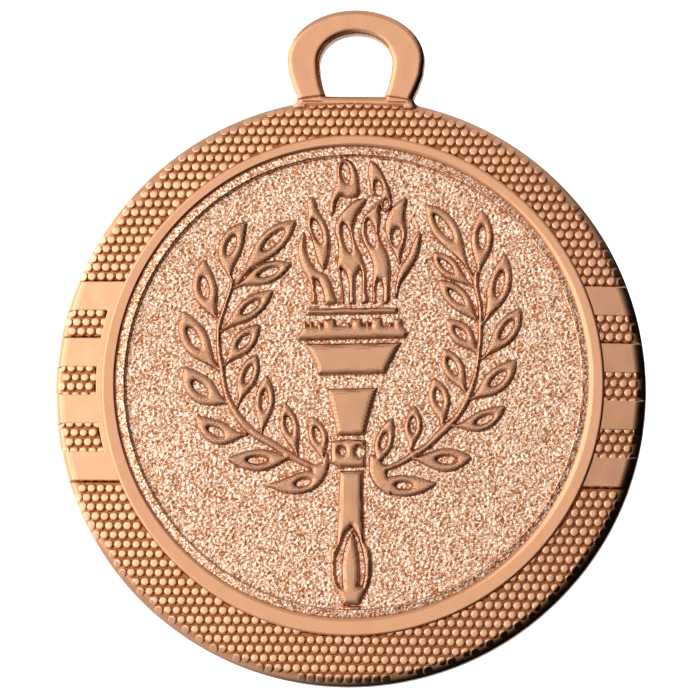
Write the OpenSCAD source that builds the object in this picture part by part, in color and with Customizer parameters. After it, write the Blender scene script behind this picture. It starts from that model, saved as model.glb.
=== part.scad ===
// Struck sports medal: a round disc with a hanging loop, a pelleted rim
// and a torch between two laurel sprays.
// Each part is drawn lying on its back, face up, round the middle of the disc. upright()
// then stands it up: face to -Y, loop to +Z, origin in the middle of the loop's eye.

/* [Disc] */
// Diameter of the disc
disc_d = 50; // [40:1:60]
// Thickness through the smooth ring, back to front
disc_t = 3.5; // [3.2:0.1:4.5]
// Depth of the struck field below the smooth ring
field_depth = 0.9; // [0.9:0.1:1.5]
// Depth of the plain recess in the back
back_depth = 0.4; // [0.2:0.1:0.8]
// How far the struck design sits to the right of the disc's middle
strike_x = 0.3; // [0:0.05:0.4]
// How far the struck design sits above the disc's middle
strike_y = 0.4; // [0:0.05:0.4]
// Turn of the struck design against the loop, in degrees
strike_turn = 1.1; // [-2:0.1:2]

/* [Rim] */
// Outer radius of the smooth ring, on a disc of 50 mm
ring_r = 21.25; // [21:0.05:21.5]
// Mean width of the smooth ring
ring_w = 1.2; // [1:0.05:1.3]
// Fall of the rim from the smooth ring to the edge
rim_fall = 0.45; // [0.2:0.05:0.6]
// Depth of the pelleted floor below the smooth lands
pellet_h = 0.35; // [0.2:0.05:0.45]
// Distance between pellets along a row, on a disc of 50 mm
pellet_pitch = 0.785; // [0.75:0.005:1]
// Diameter of one pellet, on a disc of 50 mm
pellet_d = 0.62; // [0.4:0.02:0.66]
// Radius of the rounded edges
edge_r = 0.45; // [0.3:0.05:0.6]

/* [Hanging loop] */
// Width of the loop, on a disc of 50 mm
loop_w = 11.7; // [11.4:0.1:13]
// Width of the eye, on a disc of 50 mm
eye_w = 6.2; // [5.6:0.1:6.8]
// Thickness of the loop
loop_t = 2.5; // [2:0.1:2.6]

/* [Relief] */
// Height of the torch above the field
torch_h = 0.6; // [0.5:0.05:0.8]
// Height of the flames above the field
flame_h = 0.5; // [0.4:0.05:0.8]
// Height of the laurel leaves above the field
leaf_h = 0.4; // [0.3:0.05:0.8]

/* [Hidden] */

$fn = 96;
satin = "#d79b73";                  // bronze plating: smooth, frosted and pelleted
frosted = "#c4875f";
beaded = "#b87a52";

k = disc_d / 50;                    // the outlines are drawn for a disc of 50 mm
disc_r = disc_d / 2;
floor_r = disc_r - edge_r;          // where the rim starts to round over
ring_out = ring_r * k;
ring_in = (ring_r - ring_w) * k;
field_h = disc_t - field_depth;     // height of the field above the back
field_r = 19.3 * k;
field_lift = 0.27 * k;              // the field sits this much above the ring's outer edge
land_h = disc_t - 0.05;             // the lands start just under the smooth ring
hidden_r = 20 * k;                  // the rim's profile starts inside the smooth ring
past = 1;                           // how far a cutter runs past what it cuts

land_count = 4;                     // smooth lands on each side
land_w = 2.55 * k;                  // height of one land, and of the gap between two
land_gap = 2.27 * k;
lands_top = 9 * k;
lands_foot = lands_top - land_count * land_w - (land_count - 1) * land_gap;

loop_back = 0.45;                   // back of the loop, above the back of the disc
loop_mid = 28.2;                    // height of the loop's widest place, and of the eye's
eye_mid = 27.9;
loop_rise = 4.3;                    // from the widest place to the crown, outside and in
eye_rise = 2.6;
eye_foot = 25.1;
origin_y = (eye_mid + eye_rise + eye_foot) / 2 * k;
origin_h = loop_back + loop_t / 2;

// ---- curves -------------------------------------------------------------

// Point on a smooth curve between b and c, with a before them and d after them
function blend(a, b, c, d, t) =
    0.5 * (2 * b + (c - a) * t + (2 * a - 5 * b + 4 * c - d) * t * t
           + (3 * b - a - 3 * c + d) * t * t * t);

// Smooth closed outline through a few points
function round_through(p, n = 5) =
    let (m = len(p))
    [for (i = [0:m - 1]) for (j = [0:n - 1])
        blend(p[(i + m - 1) % m], p[i], p[(i + 1) % m], p[(i + 2) % m], j / n)];

// Smooth open line through a few points
function line_through(p, n = 4) =
    let (m = len(p) - 1)
    concat([for (i = [0:m - 1]) for (j = [0:n - 1])
        blend(p[max(i - 1, 0)], p[i], p[i + 1], p[min(i + 2, m)], j / n)], [p[m]]);

// Unit vector square to the way from a to b, on its left
function left_of(a, b) = [a.y - b.y, b.x - a.x] / norm([b.x - a.x, b.y - a.y]);

// One edge of a band along middle points [x, y, half width]
function band_edge(c, way) =
    [for (i = [0:len(c) - 1])
        [c[i].x, c[i].y] + way * c[i].z * left_of(c[max(i - 1, 0)], c[min(i + 1, len(c) - 1)])];

function reversed(p) = [for (i = [len(p) - 1:-1:0]) p[i]];
function both_edges(c) = concat(band_edge(c, 1), reversed(band_edge(c, -1)));
function arc(c, r, from, to, n = 8) =
    [for (i = [0:n]) let (a = from + (to - from) * i / n) c + r * [cos(a), sin(a)]];
function half_oval(mid, rx, ry, n = 24) =
    [for (i = [0:n]) [rx * cos(180 * i / n), mid + ry * sin(180 * i / n)]];

// Almond of a given length and width whose long way lies along angle a
function almond(c, length, width, a, n = 9) =
    [for (i = [0:2 * n - 1])
        let (t = 180 * i / n, x = length / 2 * cos(t), y = width / 2 * sin(t) * pow(abs(sin(t)), 0.2))
        c + [x * cos(a) - y * sin(a), x * sin(a) + y * cos(a)]];

// ---- placing ------------------------------------------------------------

module upright() {
    rotate([90, 0, 0]) translate([0, -origin_y, -origin_h]) children();
}

// Where the die struck the design: a little off the middle, and a little turned
module struck() {
    rotate(strike_turn) translate([strike_x, strike_y, 0]) children();
}

// Flat drawing raised from the field
module raised(height) {
    upright() struck() translate([0, 0, field_h]) linear_extrude(height) scale(k) children();
}

// ---- disc and rim ---------------------------------------------------------

// Height of the lands' surface at radius r
function land_at(r) = land_h - rim_fall * (r - hidden_r) / (floor_r - hidden_r);

module struck_cylinder(r, from, to, lift = 0) {
    struck() translate([0, lift, from]) cylinder(r = r, h = to - from);
}

module disc_core() {
    color(frosted) upright() struck_cylinder(ring_in, back_depth, field_h, field_lift);
}

module rim_body() {
    edge_h = land_at(floor_r) - pellet_h;
    difference() {
        rotate_extrude() polygon(concat(
            [[hidden_r, 0]],
            arc([floor_r, edge_r], edge_r, -90, 0),
            arc([floor_r, edge_h - edge_r], edge_r, 0, 90),
            [[hidden_r, land_at(hidden_r) - pellet_h]]));
        struck_cylinder(ring_out, -past, disc_t + past);
    }
}

module rim_band() {
    color(beaded) upright() rim_body();
}

module smooth_ring() {
    color(satin) upright() difference() {
        struck_cylinder(ring_out, 0, disc_t);
        struck_cylinder(ring_in, -past, disc_t + past, field_lift);
    }
}

// Frosted step round the field, highest at its inner lip and falling towards the ring
module field_step() {
    lip = field_depth * 0.76;
    foot = field_depth * 0.6;
    color(frosted) upright() struck() translate([0, field_lift, 0]) rotate_extrude() polygon([
        [field_r, field_h],
        [ring_in, field_h],
        [ring_in, field_h + foot],
        [field_r, field_h + lip]]);
}

// Layer of the rim between the pelleted floor and the lands' surface
module rim_layer() {
    difference() {
        rotate_extrude() polygon([
            [hidden_r, land_at(hidden_r) - pellet_h],
            [floor_r, land_at(floor_r) - pellet_h],
            [floor_r, land_at(floor_r)],
            [hidden_r, land_at(hidden_r)]]);
        struck_cylinder(ring_out, -past, disc_t + past);
    }
}

module lands(way) {
    color(satin) upright() intersection() {
        rim_layer();
        for (i = [0:land_count - 1])
            translate([way > 0 ? 0 : -disc_r, lands_top - land_w - i * (land_w + land_gap), 0])
                cube([disc_r, land_w, disc_t]);
    }
}

module lands_left() { lands(-1); }
module lands_right() { lands(1); }

// Staggered rows of pellets between two heights, whole ones only
function pellet_rows(low, high, way) =
    let (p = pellet_pitch * k, r = pellet_d * k / 2, m = ceil(disc_r / p))
    [for (j = [-m:m]) for (i = [-m:m])
        let (x = (i + (j % 2 == 0 ? 0 : 0.5)) * p, y = j * p)
        if (y - r > low && y + r < high && (way == 0 || way * x > 0)
            && norm([x, y]) < floor_r - r - 0.03
            && norm([x, y] - strike_at) > ring_out + r + 0.03)
            [x, y]];
strike_at = [strike_x * cos(strike_turn) - strike_y * sin(strike_turn),
             strike_x * sin(strike_turn) + strike_y * cos(strike_turn)];

module pellets(low, high, way = 0) {
    color(beaded) upright() intersection() {
        rim_layer();
        for (c = pellet_rows(low, high, way))
            translate([c.x, c.y, 0]) cylinder(d = pellet_d * k, h = disc_t, $fn = 24);
    }
}

module patches(way) {
    for (i = [0:land_count - 2])
        let (high = lands_top - land_w - i * (land_w + land_gap))
            pellets(high - land_gap, high, way);
}

module pellets_upper() { pellets(lands_top, disc_r); }
module pellets_lower() { pellets(-disc_r, lands_foot); }
module pellets_left() { patches(-1); }
module pellets_right() { patches(1); }

// ---- hanging loop ---------------------------------------------------------

leg = [[-5.7, 26.9], [-5.35, 25.9], [-4.9, 24.9], [-4.9, 24]];
eye_side = [[-3, 26.9], [-2.8, 26], [-2.5, eye_foot]];
function mirrored(p) = [for (q = reversed(p)) [-q.x, q.y]];
function widened(p, by) = [for (q = p) [q.x + sign(q.x) * by, q.y]];

module loop_outline() {
    scale(k) difference() {
        polygon(concat(half_oval(loop_mid, loop_w / 2, loop_rise),
                       widened(concat(leg, mirrored(leg)), (loop_w - 11.7) / 2)));
        polygon(concat(half_oval(eye_mid, eye_w / 2, eye_rise),
                       widened(concat(eye_side, mirrored(eye_side)), (eye_w - 6.2) / 2)));
    }
}

module hanging_loop() {
    color(satin) upright() difference() {
        translate([0, 0, loop_back]) linear_extrude(loop_t) loop_outline();
        translate([0, 0, -past]) cylinder(r = disc_r, h = disc_t + 2 * past);
    }
}

// Plain root that carries the loop's face onto the rounded edge of the rim
module loop_plinth() {
    plinth_w = 9.7 * k;
    plinth_low = 24.1 * k;
    top = land_at(floor_r) - pellet_h / 2;
    color(satin) upright() difference() {
        intersection() {
            cylinder(r = disc_r, h = top);
            translate([-plinth_w / 2, plinth_low, top / 2]) cube([plinth_w, disc_r, top]);
        }
        rim_body();
    }
}

// ---- torch ----------------------------------------------------------------

module torch_lip() {
    color(satin) raised(torch_h * 0.8)
        polygon([[-3.95, 6.02], [-3.9, 6.5], [3.8, 6.55], [3.75, 6.08]]);
}

// Teeth along the top of the crown band: [left, right, height]
crown_teeth = [[-4.15, -3.95, 5.4], [-3.6, -3.4, 5.4], [-2.9, -2.7, 5.35], [-2.4, -1.5, 5.6],
               [-0.45, -0.3, 5.3], [0, 0.75, 5.6], [1.15, 1.35, 5.4], [1.65, 2.45, 5.65],
               [3.1, 3.2, 5.3], [3.55, 4.1, 5.6]];

module torch_crown() {
    color(satin) raised(torch_h)
        polygon(concat([[-4.6, 3.85], [-4.8, 4.2], [-4.3, 4.75]],
                       [for (t = crown_teeth) each [[t[0] - 0.1, 5], [t[0], t[2]], [t[1], t[2]], [t[1] + 0.15, 5]]],
                       [[4.7, 4.4], [4.5, 4]]));
}

module torch_bowl() {
    color(satin) raised(torch_h)
        polygon([[-4.03, 3.5], [-3.45, 2.45], [-3.05, 1.6], [-2.88, 0.9],
                 [2.75, 0.98], [3.05, 1.6], [3.5, 2.45], [4.1, 3.55]]);
}

module torch_neck() {
    color(satin) raised(torch_h)
        polygon([[-2.2, -0.3], [-1.8, -1.9], [-1.5, -3.2], [-1.3, -4.25],
                 [1.05, -4.2], [1.3, -3], [1.65, -1.7], [2.1, -0.25]]);
}

module torch_collar() {
    color(satin) raised(torch_h * 0.85) difference() {
        polygon([[-1.8, -4.75], [-1.8, -6.6], [-1.1, -6.95], [1.05, -6.9], [1.07, -4.7], [-0.4, -4.6]]);
        polygon(almond([-0.88, -5.6], 0.75, 0.6, 90));
        polygon(almond([0.62, -5.68], 1.05, 0.8, 90));
    }
}

module torch_shaft() {
    color(satin) raised(torch_h) difference() {
        polygon([[-1.08, -7.3], [-1.15, -9.5], [-1.25, -11.8], [-1.3, -13.4],
                 [0.98, -13.3], [0.9, -11.5], [0.85, -9.5], [0.87, -7.25]]);
        pommel_groove();
    }
}

// Outline of the raised tongue inside the pommel, and of the groove round it
tongue = [[-0.05, -12.35], [-0.5, -13.2], [-0.78, -14.2], [-0.92, -15.3], [-0.9, -16.4], [-0.8, -17.4],
          [0.5, -17.4], [0.58, -16.4], [0.6, -15.3], [0.48, -14.2], [0.28, -13.2]];

module pommel_groove() {
    difference() {
        polygon([[-0.05, -11.95], [-0.6, -12.55], [-0.95, -13.35], [-1.15, -14], [-1.42, -14.4],
                 [-1.47, -15.4], [-1.38, -16.4], [-1.1, -17.15], [-0.8, -17.1], [0.5, -17.05], [0.8, -17.05],
                 [0.98, -16.3], [1.04, -15.4], [0.92, -14.5], [0.72, -13.6], [0.4, -12.7]]);
        polygon(tongue);
    }
}

module torch_pommel() {
    color(satin) raised(torch_h) difference() {
        polygon([[-1.3, -13.4], [-1.8, -13.85], [-1.86, -15], [-1.8, -16.1], [-1.6, -16.95], [-1.2, -17.6],
                 [-0.78, -18.55], [0.58, -18.5], [1.05, -17.6], [1.4, -16.9], [1.58, -16], [1.6, -14.9],
                 [1.45, -13.95], [0.98, -13.3]]);
        pommel_groove();
    }
}

module torch_foot() {
    color(satin) raised(torch_h / 2) polygon([[-0.4, -18.7], [-0.4, -19], [0.6, -19], [0.6, -18.7]]);
}

// ---- flames ---------------------------------------------------------------

// Flame with a smooth outline, less its almond windows and the gaps between its feet
module flame(outline, windows = [], gaps = []) {
    color(satin) raised(flame_h) difference() {
        polygon(round_through(outline));
        for (w = windows) polygon(almond([w[0], w[1]], w[2], w[3], w[4]));
        for (g = gaps) polygon(g);
    }
}

module flame_top_left() {
    flame([[-0.85, 19.2], [-1.3, 18.7], [-1.35, 17.6], [-1.6, 16.6], [-1.95, 15.4], [-1.85, 14.45],
           [-1.55, 14.8], [-1.35, 15.7], [-0.85, 16.2], [-0.35, 15.95], [0.5, 16.2], [0.55, 17.1],
           [0.35, 18.2], [-0.15, 19.05]],
          windows = [[-0.6, 18.05, 1.8, 0.75, 97]]);
}

module flame_top_right() {
    flame([[1.5, 19], [1.32, 18.2], [1.45, 17.3], [1.68, 16.2], [1.9, 16.15], [2.5, 16], [2.35, 15.3],
           [2.7, 14.75], [3.25, 15.1], [3.3, 15.8], [3.15, 16.6], [2.8, 17.5], [2.4, 18.3], [1.95, 18.85]],
          windows = [[2.2, 16.75, 1.3, 0.7, 96], [2.8, 15.4, 0.85, 0.5, 80]]);
}

module flame_outer_left() {
    flame([[-4.2, 13.05], [-4.6, 12], [-4.55, 10.9], [-4.2, 9.8], [-3.6, 8.7], [-3.4, 7.6], [-3.4, 7],
           [-1.5, 6.95], [-1.55, 7.7], [-1.85, 8.7], [-2.3, 9.4], [-3.1, 9.85], [-3.65, 10.7],
           [-3.98, 11.7], [-4.02, 12.7]],
          gaps = [[[-3.2, 9.05], [-3.2, 8.2], [-3, 6.8], [-2.3, 6.8], [-2.5, 8], [-2.9, 8.95]]]);
}

module flame_inner_left() {
    flame([[-3.55, 16.05], [-3.85, 15.6], [-3.75, 14.7], [-3.85, 13.6], [-3.5, 12.6], [-3.2, 11.5],
           [-2.85, 10.4], [-2.45, 9.9], [-2.1, 10.5], [-1.93, 11.6], [-1.97, 12.8], [-2.35, 13.9],
           [-2.95, 14.9], [-3.15, 15.7]],
          windows = [[-3, 13.1, 2.2, 0.75, 108]]);
}

module flame_centre() {
    flame([[1.15, 15.85], [0.3, 15.75], [-0.6, 15.05], [-1.3, 14.1], [-1.5, 13.2], [-1.25, 12.2], [-1.2, 11.1],
           [-1.3, 10.2], [-1.05, 8.9], [-0.95, 7.4], [-0.95, 7], [1.2, 7], [1.15, 8], [1.12, 9.6],
           [0.75, 11], [0.2, 12.2], [0.05, 13.3], [0.4, 14.5], [0.95, 15.3]],
          windows = [[-0.47, 12.5, 2.6, 0.7, 102]],
          gaps = [[[-0.95, 10], [-1.05, 9.3], [-0.8, 8], [-0.72, 6.8], [-0.3, 6.8], [-0.28, 8.6], [-0.55, 9.6]],
                  [[0.65, 10], [0.25, 9.2], [0.2, 8], [0.22, 6.8], [0.78, 6.8], [0.8, 9.4]]]);
}

module flame_inner_right() {
    flame([[2.55, 15.9], [1.9, 15.25], [1.1, 14.5], [0.72, 13.5], [0.8, 12.5], [1.35, 11.3], [1.72, 10.2],
           [1.7, 8.6], [1.7, 7.3], [1.72, 7], [3, 7], [3.12, 8.2], [3.2, 9.8], [3, 11], [2.5, 12], [2.2, 12.8],
           [2.35, 14], [2.3, 15.1]],
          windows = [[1.55, 12.95, 2.4, 0.75, 100]],
          gaps = [[[2.2, 9], [1.95, 8.3], [1.95, 6.8], [2.6, 6.8], [2.6, 8.3], [2.45, 8.95]]]);
}

module flame_upper_right() {
    flame([[4.55, 15.85], [3.75, 15.5], [3.05, 14.6], [2.75, 13.5], [3.05, 12.2], [3.6, 11.1], [3.95, 10.25],
           [4.1, 10.8], [4.4, 11.9], [4.57, 12.9], [4.42, 14], [4.5, 15]],
          windows = [[3.72, 12.55, 1.6, 0.8, 82]]);
}

module flame_outer_right() {
    flame([[5.7, 12.95], [5.2, 12.2], [4.7, 11], [4, 9.9], [3.68, 8.7], [3.6, 7.7], [3.75, 7.4],
           [4, 8.4], [4.6, 9.4], [5.2, 10.3], [5.6, 11.2], [5.8, 12.3]]);
}

// ---- laurel ---------------------------------------------------------------

// Share of a leaf's half width at t, from foot to tip: slender foot, blunt tip
function leaf_share(t, belly) =
    let (s = max(sin(180 * pow(t, ln(0.5) / ln(belly))), 0))
    max(pow(s, t < belly ? 1.25 : 0.7), 0.1);

function on_rib(l, t) =
    l[0] + (l[1] - l[0]) * t + left_of(l[0], l[1]) * l[3] * 4 * t * (1 - t);

function leaf_rib(l, n = 14) =
    [for (i = [0:n])
        let (t = i / n, q = on_rib(l, t))
        [q.x, q.y, l[2] / 2 * leaf_share(t, l[4])]];

// Leaf from [foot, tip, width, bend to the left, place of its widest part], with a window
// that takes up a share of its length
module leaf(l, window = 0.36) {
    c = on_rib(l, l[4] + 0.03);
    ahead = on_rib(l, l[4] + 0.1) - c;
    difference() {
        polygon(both_edges(leaf_rib(l)));
        polygon(almond(c, norm(l[1] - l[0]) * window, l[2] * 0.37, atan2(ahead.y, ahead.x)));
    }
}

module stem_outline(stem, root) {
    polygon(both_edges(line_through(stem)));
    polygon(round_through(root));
}

module leaves(list, stem, root) {
    color(satin) raised(leaf_h) difference() {
        for (l = list) leaf(l, window = l[1].y < -8 ? 0.3 : 0.36);
        stem_outline(stem, root);
    }
}

module laurel_stem(stem, root) {
    color(satin) raised(leaf_h) stem_outline(stem, root);
}

// Middle line of each stem from its root up: [x, y, half width]
stem_left = [[-2.65, -7.1, 0.3], [-3.6, -6.8, 0.2], [-4.7, -6.25, 0.24], [-5.8, -5.6, 0.28],
             [-7, -4.8, 0.28], [-8.2, -4.1, 0.3], [-9.2, -3.2, 0.3], [-10, -2.1, 0.27], [-10.6, -0.9, 0.22],
             [-10.92, 0.4, 0.2], [-11.1, 1.6, 0.24], [-11.3, 2.8, 0.2], [-11.4, 4.2, 0.18], [-11.3, 5.3, 0.18],
             [-10.95, 6.4, 0.17], [-10.6, 7.5, 0.17], [-10.3, 8.4, 0.18], [-10.2, 9.1, 0.15]];
stem_right = [[2.3, -7.1, 0.3], [3.2, -6.95, 0.2], [4.3, -6.45, 0.25], [5.2, -5.85, 0.28],
              [6.3, -5.2, 0.25], [7.2, -4.3, 0.3], [8, -3.55, 0.3], [8.7, -2.85, 0.25], [9.35, -1.9, 0.26],
              [9.85, -0.8, 0.28], [10.3, 0.5, 0.18], [10.52, 1.5, 0.15], [10.7, 3, 0.2], [10.8, 4, 0.17],
              [10.84, 5, 0.18], [10.84, 6, 0.18], [10.72, 7, 0.15], [10.5, 8, 0.19], [10.42, 8.9, 0.22],
              [10.55, 9.6, 0.2]];

// Broad root that each stem and its lowest two leaves grow from
root_left = [[-2.15, -5.7], [-2.02, -6.4], [-2.08, -7.1], [-2.38, -7.8], [-2.8, -8.4], [-3.5, -8.9],
             [-3.3, -8.35], [-3.15, -7.7], [-3.4, -7.1], [-3.05, -6.7], [-2.6, -6.5]];
root_right = [[1.55, -5.9], [1.42, -6.6], [1.4, -7.2], [1.54, -7.85], [1.95, -8.5], [2.5, -8.98],
              [3.2, -9.3], [3.25, -8.6], [2.95, -7.8], [2.9, -7.35], [3.2, -6.95], [2.6, -6.8], [2.35, -6.4]];

outer_left = [[[-2.4, -7.4], [-7.05, -8.4], 1.75, 0.45, 0.37],
              [[-5.2, -6.1], [-10.5, -6.2], 1.8, 0.15, 0.5],
              [[-8.9, -4.1], [-13.15, -2.55], 1.95, 0.7, 0.54],
              [[-10.4, -1.5], [-14.2, 1.6], 2.25, 0.57, 0.54],
              [[-11.2, 1.3], [-14.35, 6.35], 2.25, 0.44, 0.57],
              [[-11.4, 5.6], [-12.6, 10.75], 2.05, 0.5, 0.53],
              [[-10.25, 8.9], [-9.05, 13.9], 2, 0.8, 0.55]];
inner_left = [[[-2.45, -6.6], [-3.45, -2.7], 1.55, -0.12, 0.57],
              [[-4.6, -6.1], [-5.75, -1.5], 1.55, 0.08, 0.57],
              [[-7.75, -4.3], [-7.3, 0.8], 1.65, -0.05, 0.57],
              [[-9.8, -1.9], [-8.15, 2.65], 1.65, 0.05, 0.6],
              [[-10.9, 1.7], [-7.9, 5.15], 1.8, 0.08, 0.56],
              [[-11.2, 4.6], [-6.8, 8.05], 1.75, 0.05, 0.57],
              [[-10.2, 8.3], [-5.25, 10.35], 1.75, 0.08, 0.6],
              [[-9.9, 8.6], [-4.85, 14], 2.05, 0.3, 0.64]];
outer_right = [[[2, -8.2], [7, -8.4], 1.75, -0.25, 0.44],
               [[4.8, -6.2], [9.98, -6.25], 1.95, -0.15, 0.58],
               [[8.3, -3.5], [12.8, -1.9], 1.65, -0.5, 0.56],
               [[9.8, -1.4], [13.75, 2], 1.95, -0.25, 0.56],
               [[10.7, 2], [14.15, 6.4], 1.85, -0.27, 0.6],
               [[10.9, 4.9], [12.85, 10.95], 1.9, -0.4, 0.58],
               [[10.55, 9], [10.95, 14.7], 1.85, -0.18, 0.58]];
inner_right = [[[2.15, -6.8], [3.35, -2.85], 1.5, 0.1, 0.48],
               [[4.9, -5.8], [5.25, -1.9], 1.5, 0, 0.57],
               [[7.6, -3.8], [6.85, 0.5], 1.75, -0.18, 0.58],
               [[9.75, -1.1], [7.7, 3], 1.75, -0.02, 0.6],
               [[10.7, 2.4], [7.95, 5.45], 1.75, -0.14, 0.57],
               [[10.75, 5.1], [7.3, 8.8], 1.75, -0.15, 0.57],
               [[10.5, 8.1], [6.9, 11.2], 1.6, 0.2, 0.64],
               [[10.25, 8.8], [6.3, 15.25], 2.1, -0.27, 0.66]];

module laurel_stem_left() { laurel_stem(stem_left, root_left); }
module laurel_stem_right() { laurel_stem(stem_right, root_right); }
module laurel_outer_left() { leaves(outer_left, stem_left, root_left); }
module laurel_inner_left() { leaves(inner_left, stem_left, root_left); }
module laurel_outer_right() { leaves(outer_right, stem_right, root_right); }
module laurel_inner_right() { leaves(inner_right, stem_right, root_right); }

disc_core();
rim_band();
smooth_ring();
field_step();
hanging_loop();
loop_plinth();
lands_left();
lands_right();
pellets_upper();
pellets_lower();
pellets_left();
pellets_right();
torch_lip();
torch_crown();
torch_bowl();
torch_neck();
torch_collar();
torch_shaft();
torch_pommel();
torch_foot();
flame_top_left();
flame_top_right();
flame_outer_left();
flame_inner_left();
flame_centre();
flame_inner_right();
flame_upper_right();
flame_outer_right();
laurel_stem_left();
laurel_outer_left();
laurel_inner_left();
laurel_stem_right();
laurel_outer_right();
laurel_inner_right();
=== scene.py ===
"""Looks of a struck bronze sports medal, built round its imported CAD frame.

Most of the work is done with the medal laid on its back: x to the right, y towards the loop and
h up from the plane of the back, all in millimetres from the middle of the disc. place() stands
such points up in the row frame, in metres.
"""

import math

import bpy
import numpy as np
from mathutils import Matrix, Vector


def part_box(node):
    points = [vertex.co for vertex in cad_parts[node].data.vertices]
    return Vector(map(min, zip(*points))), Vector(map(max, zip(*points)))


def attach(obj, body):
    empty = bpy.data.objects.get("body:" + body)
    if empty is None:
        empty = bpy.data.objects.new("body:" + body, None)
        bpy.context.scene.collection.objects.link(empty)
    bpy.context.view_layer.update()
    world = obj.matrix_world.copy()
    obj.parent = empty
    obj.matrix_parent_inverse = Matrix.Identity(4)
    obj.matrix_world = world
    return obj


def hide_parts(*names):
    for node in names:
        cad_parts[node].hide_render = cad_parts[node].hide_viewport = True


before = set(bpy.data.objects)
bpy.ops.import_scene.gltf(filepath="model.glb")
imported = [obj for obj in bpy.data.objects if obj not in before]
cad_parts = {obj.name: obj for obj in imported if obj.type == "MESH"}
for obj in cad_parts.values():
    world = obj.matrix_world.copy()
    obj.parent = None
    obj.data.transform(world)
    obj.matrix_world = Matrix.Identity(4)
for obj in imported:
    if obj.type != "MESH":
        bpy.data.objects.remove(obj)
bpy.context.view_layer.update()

# ---- the frame's own sizes, in laid millimetres ------------------------------------------

rim_low, rim_high = (np.array(c) * 1000 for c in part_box("rim_band"))
ring_low, ring_high = (np.array(c) * 1000 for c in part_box("smooth_ring"))
core_low, core_high = (np.array(c) * 1000 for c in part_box("disc_core"))
loop_low, loop_high = (np.array(c) * 1000 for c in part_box("hanging_loop"))

BACK_Y = rim_high[1]
DISC_Z = (rim_low[2] + rim_high[2]) / 2
DISC_R = (rim_high[2] - rim_low[2]) / 2
DESIGN_R = 25
SCALE = DISC_R / DESIGN_R
RING_OUT = (ring_high[0] - ring_low[0]) / 2
RING_IN = (core_high[0] - core_low[0]) / 2
RING_H = BACK_Y - ring_low[1]
FIELD_H = BACK_Y - core_low[1]
RECESS_H = BACK_Y - core_high[1]
STRIKE = np.array([ring_low[0] + ring_high[0], ring_low[2] + ring_high[2] - 2 * DISC_Z]) / 2
FIELD_MID = np.array([core_low[0] + core_high[0], core_low[2] + core_high[2] - 2 * DISC_Z]) / 2
FIELD_R = 19.3 * SCALE
LIP_H = BACK_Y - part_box("field_step")[0].y * 1000
LOOP_TOP = BACK_Y - loop_low[1]
LOOP_BACK = BACK_Y - loop_high[1]
BACK_EDGE_R = 0.45
BORDER_IN = RING_IN + 0.75


def place(x, y, h):
    """Laid millimetres to the row frame's metres."""
    return np.stack([x, BACK_Y - h, y + DISC_Z], -1) / 1000


def smooth(low, high, x):
    """0 below low, 1 above high, and an even rise between them."""
    t = np.clip((x - low) / (high - low), 0, 1)
    return t * t * (3 - 2 * t)


def rounding(d, r):
    """How far a rounded edge of radius r has dropped, at a distance d in from its side."""
    t = np.clip(1 - d / r, 0, 1)
    return r * (1 - np.sqrt(1 - t * t))


# ---- seeded surface grain ------------------------------------------------------------------

GRAIN_CELLS = 512
GRAIN_PITCH = 0.11 * SCALE


def grain_map(seed, wavelength, spread):
    """Square of random waves about as long as wavelength, in mm, with a deviation of 1."""
    white = np.random.default_rng(seed).standard_normal((GRAIN_CELLS, GRAIN_CELLS))
    f = np.fft.fftfreq(GRAIN_CELLS, GRAIN_PITCH)
    far = np.hypot(f[:, None], f[None, :]) * wavelength
    waves = np.fft.ifft2(np.fft.fft2(white) * np.exp(-(((far - 1) / spread) ** 2) / 2)).real
    return waves / waves.std()


def grain_at(waves, x, y):
    """The map's value at any laid point."""
    u = (x / GRAIN_PITCH) % GRAIN_CELLS
    v = (y / GRAIN_PITCH) % GRAIN_CELLS
    i, j = u.astype(int) % GRAIN_CELLS, v.astype(int) % GRAIN_CELLS
    a, b = u - np.floor(u), v - np.floor(v)
    k, m = (i + 1) % GRAIN_CELLS, (j + 1) % GRAIN_CELLS
    return ((waves[i, j] * (1 - a) + waves[k, j] * a) * (1 - b)
            + (waves[i, m] * (1 - a) + waves[k, m] * a) * b)


STIPPLE = grain_map(11, 0.31, 0.3)
FROST = grain_map(12, 0.27, 0.3)
SWELL = grain_map(13, 2.6, 0.5)
# Deviations in mm: stippling and frosting at most, and the slow swell of each kind of surface
STIPPLE_H = 0.045
FROST_H = 0.026
STRUCK_SWELL = 0.006
SMOOTH_SWELL = 0.003
BACK_SWELL = 0.0012


def stipple_height(x, y):
    """Height of the field's stippling over its mean."""
    return STIPPLE_H * np.tanh(1.4 * grain_at(STIPPLE, x, y)) + STRUCK_SWELL * grain_at(SWELL, x, y)


# ---- meshes ----------------------------------------------------------------------------------


def piece(name, points, faces, material, nodes, normals=None, tone=None):
    """One visible piece that stands for these CAD nodes, with its own laid normals if given, and
    a tone for each point: -1 in a hollow with full painted shade, 1 on a crest with full painted
    highlight."""
    mesh = bpy.data.meshes.new(name)
    mesh.from_pydata(points.tolist(), [], [tuple(f) for f in faces])
    mesh.validate()
    mesh.update()
    mesh.polygons.foreach_set("use_smooth", [True] * len(mesh.polygons))
    mesh.materials.append(material)
    if normals is not None:
        x, y, h = normals.T / np.linalg.norm(normals, axis=1)
        mesh.normals_split_custom_set_from_vertices(np.stack([x, -h, y], 1).tolist())
    if tone is not None:
        drawn = mesh.attributes.new("tone", "FLOAT", "POINT")
        drawn.data.foreach_set("value", tone.astype(np.float32))
    obj = bpy.data.objects.new(name, mesh)
    bpy.context.scene.collection.objects.link(obj)
    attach(obj, "root")
    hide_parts(*nodes)
    return obj


def numbered(columns, rows):
    """Every pair of a number below columns and one below rows, column by column."""
    return (q.ravel() for q in np.meshgrid(np.arange(columns), np.arange(rows), indexing="ij"))


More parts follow.
